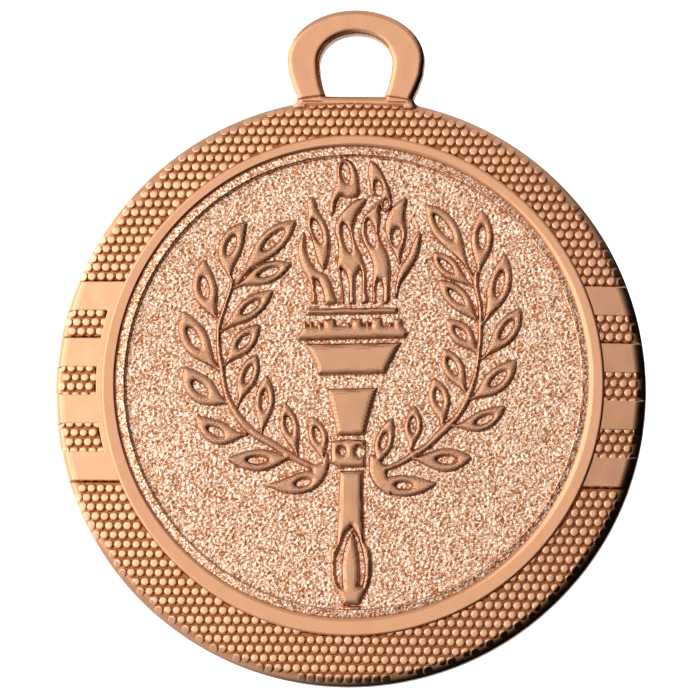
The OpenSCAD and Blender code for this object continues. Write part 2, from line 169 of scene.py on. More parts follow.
def grid_over(low, high, pitch):
    """Columns and rows of a square grid over a laid box, and the x and y of its points."""
    size = np.ceil((high - low) / pitch).astype(int) + 1
    i, j = numbered(*size)
    return size, low[0] + i * pitch, low[1] + j * pitch


def ways_round(count, again=0):
    """Unit vectors of count even spokes round the middle, with the first ones once more if asked."""
    a = np.arange(count + again) * 2 * math.pi / count
    return np.stack([np.cos(a), np.sin(a)], 1)


def ring_quads(rings, count):
    """Quads between closed rings of count points, numbered ring by ring."""
    s, t = numbered(rings - 1, count)
    after = (t + 1) % count
    low, high = s * count, (s + 1) * count
    return np.stack([low + t, high + t, high + after, low + after], 1)


FLIPPED = [0, 3, 2, 1]


def grid_triangles(columns, rows):
    """Triangles over a grid of points numbered column by column."""
    i, j = numbered(columns - 1, rows - 1)
    a = i * rows + j
    b, c, d = a + rows, a + rows + 1, a + 1
    even = ((i + j) % 2 == 0)[:, None]
    first = np.where(even, np.stack([a, b, c], 1), np.stack([a, b, d], 1))
    second = np.where(even, np.stack([a, c, d], 1), np.stack([b, c, d], 1))
    return np.concatenate([first, second])


def cut(points, triangles, value, level):
    """Splits the triangles along value = level. A row of points is x, y and any other values."""
    count = len(points)
    sides = (value > level)[triangles]
    mixed = sides.any(1) & ~sides.all(1)
    whole, split = triangles[~mixed], triangles[mixed]
    if not len(split):
        return points, triangles, value
    lone = np.where(sides[mixed].sum(1) == 1, sides[mixed].argmax(1), (~sides[mixed]).argmax(1))
    row = np.arange(len(split))
    a, b, c = (split[row, (lone + s) % 3] for s in range(3))
    pairs = np.sort(np.concatenate([np.stack([a, b], 1), np.stack([a, c], 1)]), 1)
    unique, back = np.unique(pairs, axis=0, return_inverse=True)
    back = back.reshape(-1)
    low, high = unique.T
    t = ((level - value[low]) / (value[high] - value[low]))[:, None]
    points = np.concatenate([points, points[low] * (1 - t) + points[high] * t])
    value = np.concatenate([value, np.full(len(unique), float(level))])
    ab, ac = (back + count).reshape(2, -1)
    new = np.concatenate([np.stack(q, 1) for q in ((a, ab, ac), (ab, b, c), (ab, c, ac))])
    return points, np.concatenate([whole, new]), value


def used_only(points, triangles):
    """The mesh without its unused points."""
    used, numbers = np.unique(triangles, return_inverse=True)
    return points[used], numbers.reshape(-1, 3)


# ---- outlines of the CAD nodes -------------------------------------------------------------


def front_faces(node):
    """Laid corners (x, y, h) of each triangle of a node's face."""
    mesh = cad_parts[node].data
    mesh.calc_loop_triangles()
    faces = [t.vertices for t in mesh.loop_triangles if t.normal.y < -0.9]
    return [[(v.x * 1000, v.z * 1000 - DISC_Z, BACK_Y - v.y * 1000)
             for v in (mesh.vertices[i].co for i in f)] for f in faces]


def front_outline(node):
    """Edges [ax, ay, bx, by] round a node's face, in laid mm, with the solid on their left."""
    edges = set()
    for face in front_faces(node):
        p = [(round(x, 4), round(y, 4)) for x, y, _ in face]
        edges.update((p[i], p[(i + 1) % 3]) for i in range(3))
    return np.array(sorted(a + b for a, b in edges if (b, a) not in edges))


CHUNK = 3000


def inside(edges, x, y):
    """Whether each point lies within the outline."""
    found = np.zeros(len(x), bool)
    ax, ay, bx, by = edges[np.abs(edges[:, 1] - edges[:, 3]) > 1e-9].T
    for s in range(0, len(x), CHUNK):
        px, py = x[s:s + CHUNK, None], y[s:s + CHUNK, None]
        crossing = ((ay > py) != (by > py)) & (px < ax + (py - ay) * (bx - ax) / (by - ay))
        found[s:s + CHUNK] = crossing.sum(1) % 2 == 1
    return found


def nearest(edges, x, y):
    """Distance from each point to the outline, and the unit way from the outline to the point."""
    a, b = edges[:, :2], edges[:, 2:]
    along = b - a
    length = np.hypot(*along.T)
    left = np.stack([-along[:, 1], along[:, 0]], 1) / length[:, None]
    far, way = np.empty(len(x)), np.empty((len(x), 2))
    for s in range(0, len(x), CHUNK):
        p = np.stack([x[s:s + CHUNK], y[s:s + CHUNK]], 1)
        from_x, from_y = p[:, None, 0] - a[:, 0], p[:, None, 1] - a[:, 1]
        t = np.clip((from_x * along[:, 0] + from_y * along[:, 1]) / length ** 2, 0, 1)
        dx, dy = from_x - t * along[:, 0], from_y - t * along[:, 1]
        best = (dx * dx + dy * dy).argmin(1)
        row = np.arange(len(p))
        off = np.stack([dx[row, best], dy[row, best]], 1)
        gap = np.hypot(*off.T)
        far[s:s + CHUNK] = gap
        away = off / np.maximum(gap, 1e-6)[:, None]
        way[s:s + CHUNK] = np.where(gap[:, None] > 1e-6, away, left[best])
    return far, way


OUTLINE_STEP = 0.08
PROBE = 0.03


def joined_outline(nodes):
    """The nodes' own outlines, and the one round them all, without the edges that they share."""
    outlines = [front_outline(n) for n in nodes]
    kept = []
    for n, edges in enumerate(outlines):
        parts = []
        for ax, ay, bx, by in edges:
            count = max(1, math.ceil(math.hypot(bx - ax, by - ay) / OUTLINE_STEP))
            t = np.arange(count + 1) / count
            x, y = ax + (bx - ax) * t, ay + (by - ay) * t
            parts.append(np.stack([x[:-1], y[:-1], x[1:], y[1:]], 1))
        parts = np.concatenate(parts)
        along = parts[:, 2:] - parts[:, :2]
        right = np.stack([along[:, 1], -along[:, 0]], 1) / np.hypot(*along.T)[:, None]
        probe = (parts[:, :2] + parts[:, 2:]) / 2 + PROBE * right
        hidden = np.zeros(len(parts), bool)
        for m, other in enumerate(outlines):
            if m != n:
                hidden |= inside(other, *probe.T)
        kept.append(parts[~hidden])
    return outlines, np.concatenate(kept)


# How a struck edge rises: distance in from the drawn outline, and share of the full height
EDGE = np.array([[-0.1, -0.15], [-0.07, 0.1], [-0.03, 0.4], [0.02, 0.63], [0.07, 0.77], [0.13, 0.86],
                 [0.21, 0.925], [0.31, 0.97], [0.45, 1]])
EDGE_FOOT = EDGE[0, 0]
# Share of the height that a figure's top domes by, and the painted shade at the foot of its edge
DOME = 0.045
FIGURE_FOOT_SHADE = -0.35
RELIEF_PITCH = 0.085
RELIEF_MARGIN = 0.3


def relief(name, nodes, material):
    """A raised figure of the design, with rounded struck edges, over its nodes' outline."""
    outlines, edges = joined_outline(nodes)
    height = BACK_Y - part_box(nodes[0])[0].y * 1000 - FIELD_H
    ends = edges.reshape(-1, 2)
    size, x, y = grid_over(ends.min(0) - RELIEF_MARGIN, ends.max(0) + RELIEF_MARGIN, RELIEF_PITCH)
    far, way = nearest(edges, x, y)
    solid = np.zeros(len(x), bool)
    for outline in outlines:
        solid |= inside(outline, x, y)
    d = np.where(solid, far, -far)
    up = np.where(solid[:, None], way, -way)
    triangles = grid_triangles(*size)
    triangles = triangles[d[triangles].max(1) > EDGE_FOOT]
    points = np.stack([x, y, up[:, 0], up[:, 1]], 1)
    for level in EDGE[:, 0]:
        close = np.abs(d - level) < 0.2 * RELIEF_PITCH
        points[close, :2] += points[close, 2:] * (level - d[close])[:, None]
        d[close] = level
        points, triangles, d = cut(points, triangles, d, level)
    triangles = triangles[d[triangles].mean(1) > EDGE_FOOT + 1e-6]
    points, triangles = used_only(np.column_stack([points, d]), triangles)
    x, y, d = points[:, 0], points[:, 1], points[:, 4]

    def profile(q):
        return height * (np.interp(q, *EDGE.T) + DOME * smooth(0.1, 1.2, q) - DOME)

    def swell(x, y):
        return STRUCK_SWELL * grain_at(SWELL, x, y)

    near = 0.03
    slope = (profile(d + near) - profile(d - near)) / (2 * near)
    tilt_x = slope * points[:, 2] + (swell(x + near, y) - swell(x - near, y)) / (2 * near)
    tilt_y = slope * points[:, 3] + (swell(x, y + near) - swell(x, y - near)) / (2 * near)
    normals = np.stack([-tilt_x, -tilt_y, np.ones(len(x))], 1)
    h = FIELD_H + profile(d) + swell(x, y) * smooth(0.1, 0.4, d)
    # Painted shade at the foot of the struck edge, where the figure meets the field
    tone = FIGURE_FOOT_SHADE * (1 - smooth(-0.1, 0.02, d))
    return piece(name, place(x, y, h), triangles, material, nodes, normals, tone)


# ---- materials --------------------------------------------------------------------------------


def node(tree, kind, x=0, y=0, **values):
    """A shader node at a place in the tree, with its inputs or properties set."""
    n = tree.nodes.new(kind)
    n.location = (x, y)
    for key, value in values.items():
        socket = n.inputs.get(key.replace("_", " "))
        if socket is not None:
            socket.default_value = value
        else:
            setattr(n, key, value)
    return n


# Painted shade and painted highlight: the colours that the mesh's tone mixes in, dark brown in hollows
# and near-white on crests
PAINTED_SHADE = (0.36, 0.12, 0.03)
PAINTED_HIGHLIGHT = (1.0, 0.82, 0.66)
# Sockets of a colour mix, whose names repeat
MIX_A, MIX_B, MIX_RESULT = 6, 7, 2


def colour_mix(tree, x, y, b, a=None):
    """A mix towards the colour b, from the colour a unless a link brings that one."""
    mix = node(tree, "ShaderNodeMix", x, y, data_type="RGBA")
    mix.inputs[MIX_B].default_value = (*b, 1)
    if a is not None:
        mix.inputs[MIX_A].default_value = (*a, 1)
    return mix


def bronze(name, slot, dark, light, roughness, scratch, pits, pit_scale, glint_and_pit_shade=0.0):
    """Plated bronze: a slow drift of tone, fine wear in the gloss, hairline scratches and pits.
    The mesh's tone mixes in painted shade below 0 and painted highlight above 0, and a finer noise,
    the one that raises the pits, adds painted glints and painted pit shade."""
    material = bpy.data.materials.new(name)
    material.use_nodes = True
    material["slot"] = slot
    tree = material.node_tree
    tree.nodes.clear()
    link = tree.links.new
    out = node(tree, "ShaderNodeOutputMaterial", 900)
    shader = node(tree, "ShaderNodeBsdfPrincipled", 600, Metallic=1.0, Coat_Weight=0.25,
                  Coat_Roughness=0.3)
    link(shader.outputs[0], out.inputs[0])
    where = node(tree, "ShaderNodeTexCoord", -1100)

    drift = node(tree, "ShaderNodeTexNoise", -800, 300, Scale=260, Detail=5, Roughness=0.6)
    tone = colour_mix(tree, -300, 300, light, dark)
    link(where.outputs["Object"], drift.inputs["Vector"])
    link(drift.outputs["Fac"], tone.inputs[0])

    grit = node(tree, "ShaderNodeTexNoise", -650, -650, Scale=pit_scale, Detail=2.5, Roughness=0.6,
                Distortion=1.2)
    link(where.outputs["Object"], grit.inputs["Vector"])
    # Finer painted glints and painted pit shade, from the same noise that raises the pits
    glints_and_shade = node(tree, "ShaderNodeMapRange", -450, 650, From_Min=0.36, From_Max=0.64,
                    To_Min=-glint_and_pit_shade, To_Max=glint_and_pit_shade)
    link(grit.outputs["Fac"], glints_and_shade.inputs["Value"])
    drawn = node(tree, "ShaderNodeAttribute", -650, 800, attribute_name="tone")
    total = node(tree, "ShaderNodeMath", -300, 700, operation="ADD")
    link(drawn.outputs["Fac"], total.inputs[0])
    link(glints_and_shade.outputs[0], total.inputs[1])
    colour = tone.outputs[MIX_RESULT]
    # Painted shade where the tone falls towards -1, painted highlight where it rises towards 1
    for end, mixed in ((-1, PAINTED_SHADE), (1, PAINTED_HIGHLIGHT)):
        share = node(tree, "ShaderNodeMapRange", -100, 700 + 200 * end, From_Max=end)
        blend = colour_mix(tree, 150, 500 + 150 * end, mixed)
        link(total.outputs[0], share.inputs["Value"])
        link(share.outputs[0], blend.inputs[0])
        link(colour, blend.inputs[MIX_A])
        colour = blend.outputs[MIX_RESULT]
    link(colour, shader.inputs["Base Color"])

    worn = node(tree, "ShaderNodeTexNoise", -800, 0, Scale=900, Detail=4, Roughness=0.65)
    gloss = node(tree, "ShaderNodeMapRange", -300, 0, From_Min=0.3, From_Max=0.7,
                 To_Min=roughness - 0.04, To_Max=roughness + 0.05)
    link(where.outputs["Object"], worn.inputs["Vector"])
    link(worn.outputs["Fac"], gloss.inputs["Value"])
    link(gloss.outputs[0], shader.inputs["Roughness"])

    turned = node(tree, "ShaderNodeMapping", -900, -350, Rotation=(0.1, math.radians(35), 0.2),
                  Scale=(1, 1, 0.04))
    lines = node(tree, "ShaderNodeTexNoise", -650, -350, Scale=9000, Detail=2)
    scored = node(tree, "ShaderNodeBump", 0, -350, Strength=scratch, Distance=0.00003)
    link(where.outputs["Object"], turned.inputs["Vector"])
    link(turned.outputs[0], lines.inputs["Vector"])
    link(lines.outputs["Fac"], scored.inputs["Height"])
    pitted = node(tree, "ShaderNodeBump", 250, -450, Strength=pits, Distance=0.00004)
    link(grit.outputs["Fac"], pitted.inputs["Height"])
    link(scored.outputs[0], pitted.inputs["Normal"])
    link(pitted.outputs[0], shader.inputs["Normal"])
    return material


relief_metal = bronze("relief_bronze", "satin_bronze", (0.56, 0.285, 0.155), (0.64, 0.33, 0.185),
                      0.24, scratch=0.06, pits=0.06, pit_scale=6000)
ring_metal = bronze("ring_bronze", "satin_bronze", (0.68, 0.335, 0.18), (0.74, 0.375, 0.21),
                    0.26, scratch=0.06, pits=0.08, pit_scale=5000)
frosted_metal = bronze("frosted_bronze", "frosted_bronze", (0.66, 0.295, 0.14), (0.82, 0.41, 0.22),
                       0.22, scratch=0.05, pits=1.0, pit_scale=4200, glint_and_pit_shade=1.7)
beaded_metal = bronze("beaded_bronze", "beaded_bronze", (0.78, 0.41, 0.23), (0.88, 0.475, 0.275),
                      0.28, scratch=0.15, pits=0.2, pit_scale=5200)

# ---- field, step and ring ----------------------------------------------------------------------


def field():
    """Stippled ground of the design, out to a little way under the step."""
    reach = FIELD_R + 0.1
    n = int(reach / GRAIN_PITCH) + 1
    side = 2 * n + 1
    i, j = numbered(side, side)
    x, y = FIELD_MID[0] + (i - n) * GRAIN_PITCH, FIELD_MID[1] + (j - n) * GRAIN_PITCH
    a, b = numbered(side - 1, side - 1)
    corner = a * side + b
    quads = np.stack([corner, corner + side, corner + side + 1, corner + 1], 1)
    r = np.hypot(x - FIELD_MID[0], y - FIELD_MID[1])
    quads = quads[r[quads].max(1) < reach]
    used, numbers = np.unique(quads, return_inverse=True)
    x, y = x[used], y[used]
    points = place(x, y, FIELD_H + stipple_height(x, y))
    # Painted shade in the stipple's hollows and painted highlight on its peaks, following its height
    tone = 0.1 + 0.4 * np.clip(grain_at(STIPPLE, x, y), -1.5, 1.5)
    return piece("field", points, numbers.reshape(-1, 4), frosted_metal, ["disc_core"], tone=tone)


def lathe(name, spokes, height, count, material, nodes):
    """Rings of points round the medal. spokes(u) gives each ring's x and y along the unit vectors u,
    and height(x, y) the heights of them all."""
    x, y = (np.stack(q) for q in zip(*spokes(ways_round(count))))
    points = place(x.ravel(), y.ravel(), height(x, y).ravel())
    return piece(name, points, ring_quads(len(x), count), material, nodes)


def spoke_to(u, middle, r):
    """Distance from the struck middle, along the unit vectors u, to a circle round another middle."""
    off = middle - STRIKE
    return u @ off + np.sqrt(r ** 2 - off @ off + (u @ off) ** 2)


def field_step():
    """Frosted band with a small wall up from the field, falling a little towards the ring."""
    wall = [[-0.2, -0.14], [-0.15, -0.04], [-0.11, 0.14], [-0.07, 0.5], [-0.03, 0.8], [0.02, 0.95],
            [0.08, 1]]
    rise, fall = LIP_H - FIELD_H, 0.14
    band = np.linspace(0.16, 0.8, 9)
    reach = np.concatenate([[q[0] for q in wall], band])
    lift = np.concatenate([[q[1] * rise for q in wall], rise - fall * band / 0.75])

    def spokes(u):
        for q in reach:
            r = spoke_to(u, FIELD_MID, FIELD_R + q)
            yield STRIKE[0] + r * u[:, 0], STRIKE[1] + r * u[:, 1]

    def height(x, y):
        rough = FROST_H * np.tanh(1.2 * grain_at(FROST, x, y)) * (reach > 0.03)[:, None]
        return FIELD_H + lift[:, None] + rough

    return lathe("field_step", spokes, height, 1500, frosted_metal, ["field_step"])


def smooth_ring():
    """Flat raised ring: a shoulder down to the step, wider towards the lower right, and a rounded
    outer edge."""
    foot = LIP_H - RING_H - 0.2
    inner = [[0, foot], [0.12, foot * 0.8], [0.3, foot * 0.42], [0.5, foot * 0.17], [0.7, -0.05],
             [0.86, -0.015], [1, 0]]
    flat = [0.06, 0.35, 0.65, 0.94]
    outer = [[-0.22, 0], [-0.17, -0.006], [-0.11, -0.022], [-0.05, -0.06], [0, -0.13], [0.04, -0.3],
             [0.08, -0.6]]
    drop = np.array([q[1] for q in inner] + [0] * len(flat) + [q[1] for q in outer])

    def spokes(u):
        right = 0.5 + 0.5 * (u @ [math.cos(0.35), -math.sin(0.35)])
        low = spoke_to(u, FIELD_MID, RING_IN) - 0.05 - 0.2 * right
        shoulder = spoke_to(u, FIELD_MID, RING_IN) + 0.17 + 0.14 * right
        last = RING_OUT + outer[0][0]
        for q, _ in inner:
            r = low + (shoulder - low) * q
            yield STRIKE[0] + r * u[:, 0], STRIKE[1] + r * u[:, 1]
        for q in flat:
            r = shoulder + (last - shoulder) * q
            yield STRIKE[0] + r * u[:, 0], STRIKE[1] + r * u[:, 1]
        for q, _ in outer:
            yield STRIKE[0] + (RING_OUT + q) * u[:, 0], STRIKE[1] + (RING_OUT + q) * u[:, 1]

    def height(x, y):
        return RING_H + drop[:, None] + SMOOTH_SWELL * grain_at(SWELL, x, y)

    return lathe("smooth_ring", spokes, height, 900, ring_metal, ["smooth_ring"])


# ---- rim ---------------------------------------------------------------------------------------

land_tops = np.array(front_faces("lands_right")).reshape(-1, 3)
LAND_FALL, LAND_MID = np.polyfit(np.hypot(land_tops[:, 0], land_tops[:, 1]), land_tops[:, 2], 1)
# Lowest and highest y of each smooth land, from the level edges of its outline
level_edges = [e for e in front_outline("lands_right")
               if abs(e[1] - e[3]) < 1e-3 and abs(e[0] - e[2]) > 0.05]
LANDS = np.unique(np.round([e[1] for e in level_edges], 2)).reshape(-1, 2)
# How a land rises from the sunk floor: distance in from its edge, and share of the rise
LAND_WALL = np.array([-0.1, -0.04, 0.03, 0.1])
LAND_RISE = np.array([0, 0.45, 0.9, 1])
PELLET_DROP = 0.42
LEFT_MARGIN = 0.5
# Widths over which the lands and the sunk floor roll over to the side, and where the side starts
LAND_ROLL = 1.0
FLOOR_ROLL = 0.95
RIM_SIDE_H = 1.85
UNDER_RING = 0.3
# Painted shade on the sunk floor between the pellets
SUNK_FLOOR_SHADE = -0.95


def land_top(r):
    """Height of the lands at a distance from the disc's middle, before they roll over."""
    return LAND_MID + LAND_FALL * r


def sunk_floor(r):
    """Height of the floor between the pellets, rolled over at the edge."""
    return rounded_rim(r, lambda q: land_top(q) - PELLET_DROP, DISC_R - FLOOR_ROLL)


def into_land(x, y):
    """Distance that a point lies within the nearest smooth land, below 0 outside it. On the left a
    narrow margin beside the ring joins the lands."""
    middle, half = LANDS.mean(1), np.diff(LANDS, axis=1)[:, 0] / 2
    bar = (half - np.abs(np.expand_dims(y, -1) - middle)).max(-1)
    beside = RING_OUT + LEFT_MARGIN - np.hypot(x - STRIKE[0], y - STRIKE[1])
    beside = np.minimum(beside, np.minimum(y - LANDS.min(), LANDS.max() - y))
    return np.where(x < 0, np.maximum(bar, beside), bar)


def rounded_rim(r, top, start):
    """Height of a rim surface that rolls over to the side from the radius start outwards."""
    t = np.clip((r - start) / (DISC_R - start), 0, 1)
    return top(np.minimum(r, start)) - (top(start) - RIM_SIDE_H) * (1 - np.sqrt(1 - t * t))


def rim_height(x, y):
    """Height of the rim's surface, without its pellets."""
    r = np.hypot(x, y)
    land = rounded_rim(r, land_top, DISC_R - LAND_ROLL)
    floor = sunk_floor(r)
    share = np.interp(into_land(x, y), LAND_WALL, LAND_RISE)
    return floor + (land - floor) * share


def rim():
    """Rim with its smooth lands, sunk patches, rounded edge, side and back border."""
    count = 1440
    roll = DISC_R - LAND_ROLL
    u = ways_round(count, again=1)
    hidden_r = RING_OUT - UNDER_RING
    start = u @ STRIKE + np.sqrt(hidden_r ** 2 - STRIKE @ STRIKE + (u @ STRIKE) ** 2)
    flat_part = start[None, :] + (roll - start)[None, :] * np.linspace(0, 1, 26)[:, None]
    turn = np.radians(np.linspace(0, 90, 13)[1:])
    rolled = roll + (DISC_R - roll) * np.sin(turn)[:, None] + 0 * flat_part[:1]
    r = np.concatenate([flat_part, rolled])
    x, y = r * u[:, 0], r * u[:, 1]
    points = np.stack([x.ravel(), y.ravel()], 1)
    triangles = grid_triangles(*x.shape)
    reach = into_land(*points.T)
    for level in LAND_WALL:
        points, triangles, reach = cut(points, triangles, reach, level)
    x, y = points.T
    h = rim_height(x, y)
    h += SMOOTH_SWELL * grain_at(SWELL, x, y)
    face = place(x, y, h)

    low = [[DISC_R, RIM_SIDE_H], [DISC_R, 1.6], [DISC_R, 1.0], [DISC_R, BACK_EDGE_R]]
    low += [[DISC_R - BACK_EDGE_R * (1 - math.cos(t)), BACK_EDGE_R * (1 - math.sin(t))]
            for t in np.radians(np.linspace(15, 90, 6))]
    low += [[DISC_R - 1.2, 0], [DISC_R - 2.4, 0], [BORDER_IN, 0]]
    rings = np.concatenate([place(q * u[:-1, 0], q * u[:-1, 1], np.full(count, z)) for q, z in low])
    quads = ring_quads(len(low), count)
    faces = [tuple(f) for f in triangles] + [tuple(f) for f in quads + len(face)]
    # Painted shade on the sunk floor between the pellets, fading out as the edge rolls over
    sunk = 1 - np.interp(into_land(x, y), LAND_WALL, LAND_RISE)
    sunk *= 1 - smooth(DISC_R - 0.9, DISC_R - 0.3, np.hypot(x, y))
    tone = np.concatenate([SUNK_FLOOR_SHADE * sunk, np.zeros(len(rings))])
    weld(piece("rim", np.concatenate([face, rings]), faces, ring_metal,
               ["rim_band", "lands_left", "lands_right"], tone=tone))


WELD_REACH = 0.000002


def weld(obj):
    """Joins points that lie on each other."""
    modifier = obj.modifiers.new("weld", "WELD")
    modifier.merge_threshold = WELD_REACH
    bpy.context.view_layer.update()
    mesh = bpy.data.meshes.new_from_object(obj.evaluated_get(bpy.context.evaluated_depsgraph_get()))
    obj.modifiers.clear()
    old, obj.data = obj.data, mesh
    mesh.name = obj.name
    bpy.data.meshes.remove(old)


def back():
    """Plain recessed back, with rounded shoulders up to the border."""
    shoulder = 0.3
    profile = [[BORDER_IN, 0]]
    profile += [[BORDER_IN - shoulder * math.sin(t), shoulder * (1 - math.cos(t)) * 0.5]
                for t in np.radians([30, 60, 90])]
    profile += [[BORDER_IN - q, RECESS_H - h] for q, h in ((0.42, 0.08), (0.55, 0.02), (0.75, 0))]
    profile += [[r, RECESS_H] for r in np.linspace(BORDER_IN - 1.5, 0, 24)]

    def spokes(u):
        for r, _ in profile:
            yield r * u[:, 0], r * u[:, 1]

    def height(x, y):
        h = np.array([p[1] for p in profile])[:, None]
        return h + BACK_SWELL * grain_at(SWELL, x, y) * (h > RECESS_H - 0.01)

    weld(lathe("back_recess", spokes, height, 720, ring_metal, []))


# ---- pellets -------------------------------------------------------------------------------------

PELLET_PITCH = 0.785 * SCALE
PELLET_R = 0.392 * SCALE
PELLET_H = 0.4
# Button of the punch: share of the radius, and of the height
BUTTON = [[1.03, -0.2], [1.01, 0.3], [0.99, 0.6], [0.93, 0.82], [0.82, 0.93], [0.62, 0.985], [0.34, 1]]
SIZE_SPREAD = 0.03
PLACE_SPREAD = 0.008
# Painted shade low on each pellet's side, where it meets the sunk floor
PELLET_FOOT_SHADE = -0.8


def pellet_places(low, high, way=0):
    """Middles of the staggered pellets whose y is between low and high, partly covered ones among
    them: on the left if way is -1, on the right if it is 1, on both sides if it is 0."""
    m = math.ceil(DISC_R / PELLET_PITCH)
    j, i = (q - m for q in numbered(2 * m + 1, 2 * m + 1))
    x, y = (i + 0.5 * (j % 2)) * PELLET_PITCH, j * PELLET_PITCH
    shows = np.hypot(x, y) < DISC_R - 0.3
    shows &= np.hypot(x - STRIKE[0], y - STRIKE[1]) > RING_OUT - 0.12
    shows &= (into_land(x, y) < 0.16) & (y > low) & (y < high) & (way * x >= 0)
    return x[shows], y[shows]


def pellets(name, low, high, way=0):
    """Punched pellets that stand on the sunk floor and fade as the edge rolls over."""
    cx, cy = pellet_places(low, high, way)
    spokes = 16
    across, along = ways_round(spokes).T
    rings = [(s * across, s * along, np.full(spokes, z)) for s, z in BUTTON]
    ux, uy, uz = (np.append(np.concatenate(q), v) for q, v in zip(zip(*rings), (0, 0, 1)))
    rng = np.random.default_rng(21 + len(cx))
    size = PELLET_R * (1 + SIZE_SPREAD * rng.standard_normal(len(cx)))
    x = cx[:, None] + size[:, None] * ux + PLACE_SPREAD * rng.standard_normal(len(cx))[:, None]
    y = cy[:, None] + size[:, None] * uy + PLACE_SPREAD * rng.standard_normal(len(cx))[:, None]
    r = np.hypot(x, y)
    x, y = (q * np.minimum(1, (DISC_R - 0.02) / r) for q in (x, y))
    fade = 1 - smooth(DISC_R - 0.8, DISC_R - 0.15, np.hypot(x, y))
    h = sunk_floor(np.hypot(x, y)) + np.where(uz < 0, uz, uz * fade) * PELLET_H
    each = len(ux)
    quads = ring_quads(len(BUTTON), spokes)[:, FLIPPED]
    t = np.arange(spokes)
    top = (len(BUTTON) - 1) * spokes
    caps = np.stack([top + t, top + (t + 1) % spokes, np.full(spokes, each - 1)], 1)
    start = np.arange(len(cx))[:, None, None] * each
    faces = (quads + start).reshape(-1, 4).tolist() + (caps + start).reshape(-1, 3).tolist()
    # Painted shade low on each pellet's side, fading out towards its top
    tone = np.broadcast_to(PELLET_FOOT_SHADE * (1 - smooth(0.0, 0.55, uz)), x.shape).ravel()
    return piece(name, place(x.ravel(), y.ravel(), h.ravel()), faces, beaded_metal, [name], tone=tone)


# ---- hanging loop --------------------------------------------------------------------------------

PLINTH_LOW = 24.1 * SCALE
LOOP_PITCH = 0.1
LOOP_ROUND = 0.5
LOOP_BACK_ROUND = 0.4
# Shares of LOOP_ROUND at which the rounding is cut
ROUND_CUTS = np.array([0, 0.03, 0.13, 0.29, 0.5, 0.74, 1])
# Groove between the loop and the rim: radius of its middle, depth, half its width, and cuts
GROOVE_R = DISC_R + 0.25
GROOVE_DEPTH = 0.05
GROOVE_HALF = 0.07
GROOVE_CUTS = (GROOVE_R - 0.09, GROOVE_R - 0.035, GROOVE_R, GROOVE_R + 0.035, GROOVE_R + 0.09)
# Width of each leg that flares into the rim, and how far the flare reaches at most
LEG_W = 0.7
FLARE = 0.7


def hanging_loop():
    """Loop with rounded edges, its legs flared into the rim, and the plain root below it."""
    edges = front_outline("hanging_loop")
    on_disc = (np.abs(np.hypot(edges[:, [0, 2]], edges[:, [1, 3]]) - DISC_R) < 0.02).all(1)
    ends = edges[on_disc]
    edges = edges[~on_disc]
    leg_x = np.abs(ends[:, [0, 2]]).max()
    leg_y = math.sqrt(DISC_R ** 2 - leg_x ** 2)
    root = [[-leg_x, leg_y, -leg_x, PLINTH_LOW], [-leg_x, PLINTH_LOW, leg_x, PLINTH_LOW],
            [leg_x, PLINTH_LOW, leg_x, leg_y]]
    edges = np.concatenate([edges, root])
    low, high = edges.reshape(-1, 2).min(0) - 1, edges.reshape(-1, 2).max(0) + 0.3
    size, x, y = grid_over(low, high, LOOP_PITCH)
    far, _ = nearest(edges, x, y)
    own = np.where(inside(edges, x, y), far, -far)
    disc = DISC_R - np.hypot(x, y)
    flare = FLARE * smooth(leg_x - LEG_W, leg_x - 0.2, np.abs(x)) + 1e-3
    overlap = np.clip(flare - np.abs(own - disc), 0, None) / flare
    d = np.where(own > disc, own, np.where(np.abs(x) > leg_x - LEG_W, disc, own))
    d = np.maximum(d, own) + overlap ** 2 * flare / 4
    triangles = grid_triangles(*size)
    points = np.stack([x, y, own], 1)
    for level in LOOP_ROUND * ROUND_CUTS:
        points, triangles, d = cut(points, triangles, d, level)
    triangles = triangles[d[triangles].mean(1) > 1e-6]
    points = np.column_stack([points, d])
    for level in GROOVE_CUTS:
        points, triangles, _ = cut(points, triangles, np.hypot(points[:, 0], points[:, 1]), level)
    triangles = triangles[(points[triangles][:, :, 2].mean(1) > -0.8)
                          & (points[triangles][:, :, 1].mean(1) > PLINTH_LOW)]
    points, triangles = used_only(points, triangles)
    x, y, own, d = points.T
    r = np.hypot(x, y)
    root_top = land_top(DISC_R) - PELLET_DROP / 2
    top = root_top + (LOOP_TOP - root_top) * smooth(GROOVE_R - 0.09, GROOVE_R + 0.03, r)
    top -= GROOVE_DEPTH * np.clip(1 - np.abs(r - GROOVE_R) / GROOVE_HALF, 0, 1)
    top += 0.8 * np.minimum(own, 0)
    top += STRUCK_SWELL * grain_at(SWELL, x, y)
    front = top - rounding(d, LOOP_ROUND)
    rear = LOOP_BACK + rounding(d, LOOP_BACK_ROUND)
    n = len(x)
    sides = [tuple(e) for t in triangles.tolist() for e in ((t[0], t[1]), (t[1], t[2]), (t[2], t[0]))]
    known = set(sides)
    rim_edges = [e for e in sides if (e[1], e[0]) not in known]
    faces = triangles.tolist() + (triangles[:, ::-1] + n).tolist()
    faces += [(b, a, a + n, b + n) for a, b in rim_edges]
    points = np.concatenate([place(x, y, front), place(x, y, rear)])
    return piece("hanging_loop", points, faces, ring_metal, ["hanging_loop", "loop_plinth"])


# ---- the medal -----------------------------------------------------------------------------------

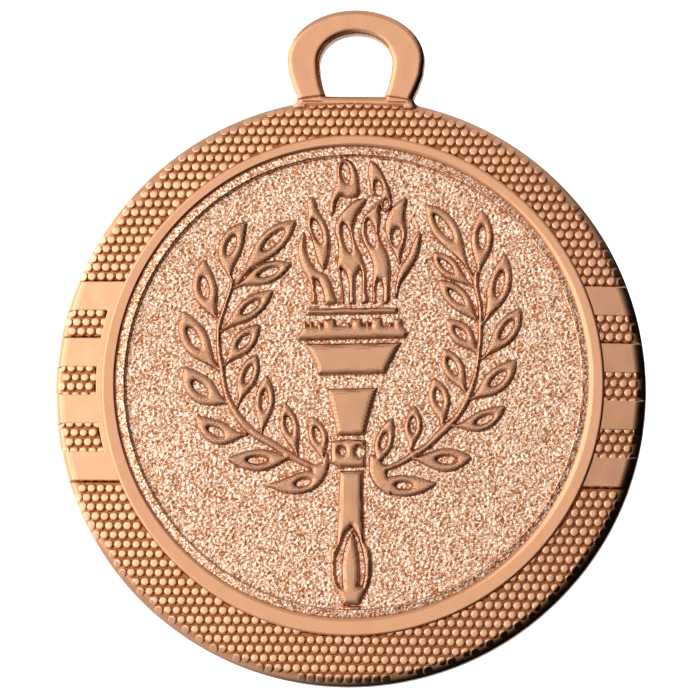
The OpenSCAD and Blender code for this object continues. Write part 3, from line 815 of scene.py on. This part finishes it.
field()
field_step()
smooth_ring()
rim()
back()
hanging_loop()
pellets("pellets_upper", LANDS.max(), 2 * DISC_R)
pellets("pellets_lower", -2 * DISC_R, LANDS.min())
pellets("pellets_left", LANDS.min(), LANDS.max(), -1)
pellets("pellets_right", LANDS.min(), LANDS.max(), 1)
for part in ("torch_lip", "torch_crown", "torch_bowl", "torch_neck", "torch_collar", "torch_foot"):
    relief(part, [part], relief_metal)
relief("torch_handle", ["torch_shaft", "torch_pommel"], relief_metal)
for part in sorted(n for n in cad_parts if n.startswith("flame_")):
    relief(part, [part], relief_metal)
for side in ("left", "right"):
    rows = [f"laurel_{row}_{side}" for row in ("stem", "outer", "inner")]
    relief("laurel_" + side, rows, relief_metal)

# ---- studio --------------------------------------------------------------------------------------

# Point that the camera and the lamps face: near the middle of disc and loop together
centre = Vector((0.00007, -0.0018, 0.003305 + DISC_Z / 1000))


def seen_from(azimuth, elevation, distance):
    """Point at a distance from the medal: azimuth turns to the right from its front."""
    a, e = math.radians(azimuth), math.radians(elevation)
    way = Vector((math.sin(a) * math.cos(e), -math.cos(a) * math.cos(e), math.sin(e)))
    return centre + way * distance


def look_at(obj, place_at, target, roll=0.0):
    """Puts a camera or lamp at a point, facing another."""
    obj.location = place_at
    turn = (target - place_at).to_track_quat("-Z", "Y").to_matrix().to_4x4()
    obj.rotation_euler = turn.to_euler()
    obj.rotation_euler.rotate_axis("Z", math.radians(roll))


def softbox(name, azimuth, elevation, distance, width, height, radiance):
    """Even rectangular light that shows in the metal but not to the camera."""
    lamp = bpy.data.lights.new(name, "AREA")
    lamp.shape = "RECTANGLE"
    lamp.size, lamp.size_y = width, height
    lamp.energy = radiance * width * height * math.pi
    obj = bpy.data.objects.new(name, lamp)
    bpy.context.scene.collection.objects.link(obj)
    look_at(obj, seen_from(azimuth, elevation, distance), centre)
    obj.visible_camera = False


softbox("key", -17, 4, 1.0, 0.98, 0.8, 0.38)
softbox("key_left", -36, 6, 1.0, 0.66, 1.0, 1.0)
softbox("side_left", -72, 8, 0.9, 0.6, 1.0, 1.8)
softbox("back", 180, 6, 1.0, 0.7, 0.8, 0.7)
softbox("edge_left", -128, 8, 0.9, 0.8, 1.0, 1.5)


def pale(name, colour, glow):
    """Plain matt studio surface with a faint mottle."""
    material = bpy.data.materials.new(name)
    material.use_nodes = True
    tree = material.node_tree
    shader = tree.nodes["Principled BSDF"]
    shader.inputs["Roughness"].default_value = 0.9
    shader.inputs["Emission Strength"].default_value = glow
    shader.inputs["Emission Color"].default_value = (1, 1, 1, 1)
    mottle = node(tree, "ShaderNodeTexNoise", -600, 0, Scale=6, Detail=3)
    tone = colour_mix(tree, -300, 0, [c * 1.02 for c in colour], colour)
    tree.links.new(mottle.outputs["Fac"], tone.inputs[0])
    tree.links.new(tone.outputs[MIX_RESULT], shader.inputs["Base Color"])
    return material


def studio():
    """Floor that sweeps up into a round backdrop, which only the camera sees."""
    floor_z, reach, bend, dome = -0.16, 2.2, 0.6, 1.6
    profile = [[r, floor_z] for r in (0.001, 0.4, 0.8, 1.2, reach - bend)]
    profile += [[reach - bend + bend * math.sin(t), floor_z + bend * (1 - math.cos(t))]
                for t in np.radians(np.arange(10, 91, 10))]
    profile += [[reach * math.cos(t), floor_z + bend + dome * math.sin(t)]
                for t in np.radians(np.arange(10, 91, 8))]
    count = 96
    a = np.arange(count) * 2 * math.pi / count
    points = np.array([[r * math.cos(t), r * math.sin(t), z] for r, z in profile for t in a])
    quads = ring_quads(len(profile), count)[:, FLIPPED]
    mesh = bpy.data.meshes.new("studio")
    mesh.from_pydata(points.tolist(), [], quads.tolist())
    mesh.polygons.foreach_set("use_smooth", [True] * len(mesh.polygons))
    mesh.materials.append(pale("studio_white", (0.9, 0.9, 0.9), 1.0))
    obj = bpy.data.objects.new("studio", mesh)
    bpy.context.scene.collection.objects.link(obj)
    obj.visible_glossy = False
    obj.visible_shadow = False
    obj.visible_diffuse = False


studio()

AIR_LIGHT = 0.75


def studio_air():
    """Soft light from all round, less from the right, and almost none from behind on the right."""
    world = bpy.data.worlds.new("studio_air")
    bpy.context.scene.world = world
    world.use_nodes = True
    tree = world.node_tree
    background = tree.nodes["Background"]
    background.inputs["Color"].default_value = (1, 1, 1, 1)
    where = node(tree, "ShaderNodeTexCoord", -1000)

    def falling(way, start, end, least, y):
        along = node(tree, "ShaderNodeVectorMath", -800, y, operation="DOT_PRODUCT")
        along.inputs[1].default_value = Vector(way).normalized()
        share = node(tree, "ShaderNodeMapRange", -600, y, interpolation_type="SMOOTHSTEP",
                     From_Min=start, From_Max=end, To_Min=1, To_Max=least)
        tree.links.new(where.outputs["Generated"], along.inputs[0])
        tree.links.new(along.outputs["Value"], share.inputs["Value"])
        return share

    right_behind = falling((0.8, 0.4, -0.45), 0.0, 0.6, 0.01, 200)
    rightward = falling((1, 0, -0.45), -0.05, 0.6, 0.22, -200)
    both = node(tree, "ShaderNodeMath", -300, 0, operation="MULTIPLY")
    strength = node(tree, "ShaderNodeMath", -100, 0, operation="MULTIPLY")
    strength.inputs[1].default_value = AIR_LIGHT
    tree.links.new(right_behind.outputs[0], both.inputs[0])
    tree.links.new(rightward.outputs[0], both.inputs[1])
    tree.links.new(both.outputs[0], strength.inputs[0])
    tree.links.new(strength.outputs[0], background.inputs["Strength"])


studio_air()

CAMERA_AZIMUTH, CAMERA_ELEVATION, CAMERA_ROLL, CAMERA_DISTANCE = 4.0, -6.5, 1.1, 0.5
VIEW_WIDTH = 0.0590
camera_data = bpy.data.cameras.new("camera")
camera_data.sensor_width = 36
camera_data.lens = camera_data.sensor_width * CAMERA_DISTANCE / VIEW_WIDTH
camera_data.clip_start, camera_data.clip_end = 0.01, 10
camera = bpy.data.objects.new("camera", camera_data)
bpy.context.scene.collection.objects.link(camera)
look_at(camera, seen_from(CAMERA_AZIMUTH, CAMERA_ELEVATION, CAMERA_DISTANCE), centre, CAMERA_ROLL)
bpy.context.scene.camera = camera
bpy.context.scene.view_settings.view_transform = "Standard"
